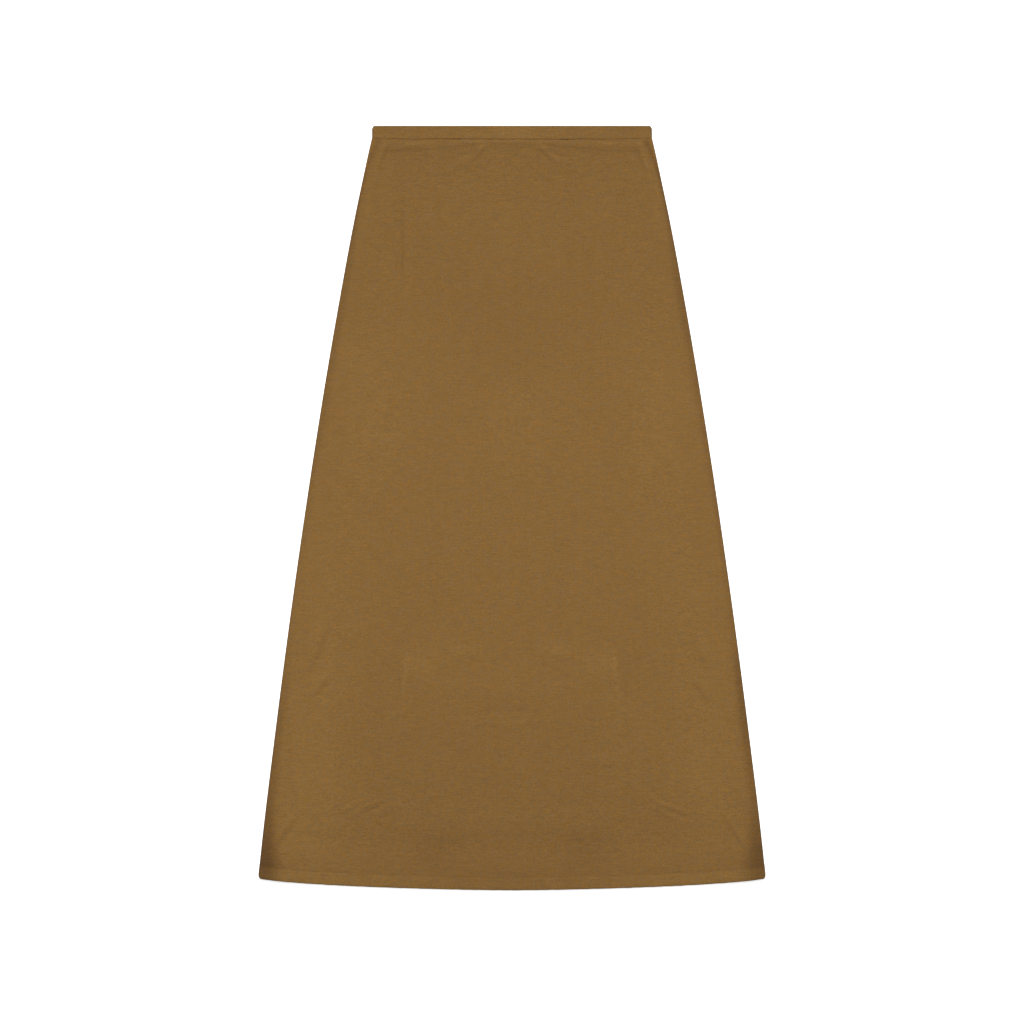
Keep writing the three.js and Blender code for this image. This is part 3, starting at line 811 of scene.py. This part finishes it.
def backRelief(surface):
    x, fromWaist, turn = surface["x"], surface["fromWaist"], surface["turn"]
    ditch, groove, edge = (backPanel[key] for key in ("ditch", "groove", "edge"))
    under = smoothStep(turn, skirt["creaseTurn"], halfPi)
    into = (1 - smoothStep(fromWaist, 0, ditch["width"])) ** ditch["power"] * unevenShare(x, ditch)
    fromStitches = surface["fromHem"] - skirt["stitchUp"]
    relief = -ditch["depth"] * into - groove["depth"] * nearness(fromStitches, groove["width"])
    relief -= sideDitch(turn)
    rise, shade = creaseRelief(x, surface["below"], backCreases)
    # Painted shade in the waist ditch, along the creases and along the sides.
    paintedLightAndTone = 1 + ditch["shade"] * into + shade * under
    paintedLightAndTone += edge["shade"] * nearness(surface["fromSide"], edge["width"])
    return relief + rise * under, paintedLightAndTone


backPanel["relief"] = backRelief
backPiece, backLine, backOut = makePanel("backPanel", backPanel, panelMaterial)
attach(backPiece, "root")
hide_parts("back_panel")
print("back panel made,", len(backPiece.data.polygons), "faces")


# The waistband: a strip folded double along its top edge, closed in a ring and laid flat.
waistband = {
    "wall": 2.4 * mm,
    "roll": 2.6 * mm,
    "pointStep": 1.0 * mm,
    "turnSteps": 12,
    "foldSteps": 10,
    "faceSteps": 18,
    "insideShares": (0.5, 1.0),
    "faceCrowding": 0.7,  # the steps up its face are closer together at the fold
    # Its shades are painted light and shade: in its ditch, with its waves, towards the seam, along its fold,
    # in the middle of the front and at its ends.
    "ditch": {"depth": 0.22 * mm, "width": 0.5 * mm, "power": 1.5, "shade": -0.03, "mean": 0.8,
              "uneven": 0.2, "waves": (9, 15, 27), "seed": 31},
    "wave": {"height": 0.12 * mm, "shade": 0.016, "waves": (38, 61, 97), "seed": 32},
    "lowerShade": 0.05,  # lighter towards the seam
    "edgeShade": -0.05,  # and darker along its fold
    "centre": {"shade": 0.10, "width": 48 * mm},  # the front is a little lighter in the middle
    "side": {"shade": -0.12, "width": 2 * mm},
}


def makeWaistband():
    roll, half = waistband["roll"], skirt["waistHalf"]
    ditch, wave, centre, side = (waistband[key] for key in ("ditch", "wave", "centre", "side"))
    straight = half - roll
    steps = round(2 * straight / waistband["pointStep"])
    xs = np.linspace(-straight, straight, steps + 1)
    turns = np.linspace(0, math.pi, waistband["turnSteps"] + 1)[1:-1]
    loopX, loopZ, outX, outZ = [], [], [], []
    for up in (1, -1):
        loopX += [up * xs, up * (straight + roll * np.sin(turns))]
        loopZ += [0 * xs + roll * (1 + up), roll * (1 + up * np.cos(turns))]
        outX += [0 * xs, up * np.sin(turns)]
        outZ += [0 * xs + up, up * np.cos(turns)]
    loopX, loopZ, outX, outZ = (np.concatenate(part) for part in (loopX, loopZ, outX, outZ))
    fold = waistband["wall"] / 2
    lower = skirt["bandHeight"] - skirt["seamGap"] / 2 + waistDrop(loopX, half)
    upper = fold + cornerDrop(loopX, half)
    shares = np.linspace(0, 1, waistband["faceSteps"] + 1) ** waistband["faceCrowding"]
    angles = np.linspace(0, math.pi, waistband["foldSteps"] + 1)
    around = np.cumsum(np.hypot(np.diff(loopX, prepend=loopX[-1]), np.diff(loopZ, prepend=loopZ[-1])))
    uneven, waves = unevenShare(around, ditch), unevenness(around, wave)
    # Painted light in the middle of the front, and painted light and shade with the waves and at the ends.
    lightened = 1 + centre["shade"] * nearness(loopX, centre["width"]) * (outZ > 0)
    lightened += wave["shade"] * waves + side["shade"] * nearness(half - np.abs(loopX), side["width"])
    depths, belows, paintedLightAndTones = [], [], []
    for share in 1 - shares:  # up the face, from the seam
        below = upper + (lower - upper) * share
        turnedIn = (1 - smoothStep(lower - below, 0, ditch["width"])) ** ditch["power"] * uneven
        waved = wave["height"] * waves * np.sin(math.pi * np.clip(share, 0, 1))
        depths.append(ditch["depth"] * turnedIn - waved)
        belows.append(below)
        paintedLightAndTones.append(lightened + ditch["shade"] * turnedIn + waistband["lowerShade"] * share)
    for angle in angles[1:]:  # over the fold
        depths.append(fold * (1 - math.cos(angle)) + 0 * upper)
        belows.append(upper - fold * math.sin(angle))
        paintedLightAndTones.append(lightened + waistband["edgeShade"] * math.sin(angle))
    for share in waistband["insideShares"]:
        depths.append(waistband["wall"] + 0 * upper)
        belows.append(upper + (lower - upper) * share)
        paintedLightAndTones.append(lightened)
    depths, belows = np.stack(depths), np.stack(belows)
    points = np.stack([loopX - outX * depths, skirt["top"] - belows, loopZ - outZ * depths], axis=-1)
    count, around = points.shape[:2]
    index = np.arange(count * around).reshape(count, around)
    index = np.concatenate([index, index[:1]], axis=0)
    index = np.concatenate([index, index[:, :1]], axis=1)
    faces = gridQuads(index[::-1]).tolist()
    return makeMesh("waistbandRing", points.reshape(-1, 3), faces, bandMaterial, np.stack(paintedLightAndTones).ravel())


bandPiece = makeWaistband()
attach(bandPiece, "root")
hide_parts("waistband")
print("waistband made,", len(bandPiece.data.polygons), "faces")

# One row of stitches holds the turned-up hem: short threads sunk in the groove they pull.
hemStitches = {
    "pitch": 2.5 * mm,
    "length": 1.6 * mm,
    "radius": 0.18 * mm,
    "sink": 0.06 * mm,
    "arch": 1.2,  # in radii
    "thinnest": 0.5,  # at their ends, in radii
    "jitter": 0.12 * mm,
    "seed": 51,
    "endInset": 1.5 * mm,
    "rings": [0.0, 0.12, 0.3, 0.5, 0.7, 0.88, 1.0],  # along one stitch
    "sides": 6,
}
# The thread is a darker brown than the cloth: partly its own colour, partly painted shade of the needle
# holes.
threadJersey = dict(panelJersey, colour=(0.147, 0.077, 0.020, 1), warmShare=0.1, greyShare=0.1, sheen=0.0)
threadMaterial = makeJersey("hemThread", threadJersey)


def makeStitches(name, line, out):
    along = np.concatenate([[0], np.cumsum(np.linalg.norm(np.diff(line, axis=0), axis=1))])
    inset = hemStitches["endInset"] + skirt["cornerRadius"]
    count = int((along[-1] - 2 * inset) / hemStitches["pitch"])
    starts = inset + np.arange(count) * hemStitches["pitch"]
    jitter = hemStitches["jitter"]
    starts = starts + np.random.default_rng(hemStitches["seed"]).uniform(-jitter, jitter, count)
    rings, sides = np.array(hemStitches["rings"]), hemStitches["sides"]
    points, faces = [], []
    for start in starts:
        at = start + rings * hemStitches["length"]
        middle = np.stack([np.interp(at, along, line[:, axis]) for axis in range(3)], axis=-1)
        up = unit(np.stack([np.interp(at, along, out[:, axis]) for axis in range(3)], axis=-1))
        ahead = unit(np.gradient(middle, axis=0))
        aside = unit(np.cross(up, ahead))
        arch = np.sin(math.pi * rings)
        radius = hemStitches["radius"] * np.clip(arch**0.5, hemStitches["thinnest"], 1)
        drop = (arch - 1) * hemStitches["arch"] * hemStitches["radius"] - hemStitches["sink"]
        middle = middle + up * drop[:, None]
        first = len(points) * len(rings) * sides
        turns = 2 * math.pi * np.arange(sides) / sides
        spokes = aside[:, None] * np.cos(turns)[None, :, None] + up[:, None] * np.sin(turns)[None, :, None]
        points.append((middle[:, None] + spokes * radius[:, None, None]).reshape(-1, 3))
        for ring in range(len(rings) - 1):
            for side in range(sides):
                low, high = first + ring * sides, first + (ring + 1) * sides
                after = (side + 1) % sides
                faces.append([low + side, low + after, high + after, high + side])
        last = first + (len(rings) - 1) * sides
        faces.append([first + side for side in reversed(range(sides))])
        faces.append([last + side for side in range(sides)])
    points = np.concatenate(points)
    piece = makeMesh(name, points, faces, threadMaterial, np.ones(len(points)), sharpAngle=None)
    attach(piece, "root")
    return piece


frontStitches = makeStitches("frontHemStitches", frontLine, frontOut)
backStitches = makeStitches("backHemStitches", backLine, backOut)
print("hem stitches made")

# A pale floor, a low soft sun from beyond the waist, a lamp above and the camera straight overhead.
studio = {
    "floorSize": 16.0,
    "floorColour": (0.90, 0.90, 0.90, 1),
    "floorRoughness": 0.9,
    "floorGlow": 0.75,  # lifts what the camera sees of the floor to plain white
    "floorDrop": 0.3 * mm,
    "skyStrength": 0.15,
    "sunStrength": 2.85,
    "sunTilt": 63.0,
    "sunSoftness": 16.0,
    "lampHeight": 1.25,
    "lampWidth": 2.4,
    "lampDepth": 0.5,
    "lampPower": 14.3,
    "lampAlong": 0.12,
    "cameraHeight": 5.0,
    "framePixels": 1024,
    "pixelSize": 1.2505 * mm,  # of the photograph, at the skirt
    "cameraAlong": -5.1 * mm,
}


def makeFloor():
    half = studio["floorSize"] / 2
    corners = np.array([(-half, -half), (half, -half), (half, half), (-half, half)])
    points = np.column_stack([corners, np.full(4, -studio["floorDrop"])])
    material = bpy.data.materials.new("paleFloor")
    material.use_nodes = True
    tree = material.node_tree
    shader = tree.nodes["Principled BSDF"]
    seen = tree.nodes.new("ShaderNodeLightPath").outputs["Is Camera Ray"]
    glow = mathNode(tree, "MULTIPLY", seen, studio["floorGlow"])
    feed(tree, shader, {"Base Color": studio["floorColour"], "Roughness": studio["floorRoughness"]})
    feed(tree, shader, {"Specular IOR Level": 0.0, "Emission Color": (1, 1, 1, 1)})
    feed(tree, shader, {"Emission Strength": glow})
    makeMesh("floor", points, [[0, 1, 2, 3]], material)


def makeStudio():
    makeFloor()
    world = bpy.data.worlds.new("softRoom")
    world.use_nodes = True
    tree = world.node_tree
    feed(tree, tree.nodes["Background"], {"Color": (1, 1, 1, 1), "Strength": studio["skyStrength"]})
    bpy.context.scene.world = world
    sun = bpy.data.lights.new("window", "SUN")
    sun.energy = studio["sunStrength"]
    sun.angle = math.radians(studio["sunSoftness"])
    addObject("window", sun).rotation_euler = (-math.radians(studio["sunTilt"]), 0, 0)
    lamp = bpy.data.lights.new("overhead", "AREA")
    lamp.shape, lamp.size, lamp.size_y = "RECTANGLE", studio["lampWidth"], studio["lampDepth"]
    lamp.energy = studio["lampPower"]
    addObject("overhead", lamp).location = (0, studio["lampAlong"], studio["lampHeight"])
    camera = bpy.data.cameras.new("camera")
    frameWidth = studio["framePixels"] * studio["pixelSize"]
    camera.lens = camera.sensor_width * studio["cameraHeight"] / frameWidth
    bpy.context.scene.camera = addObject("camera", camera)
    bpy.context.scene.camera.location = (0, studio["cameraAlong"], studio["cameraHeight"])
    bpy.context.scene.view_settings.view_transform = "Standard"


makeStudio()
print("studio made")
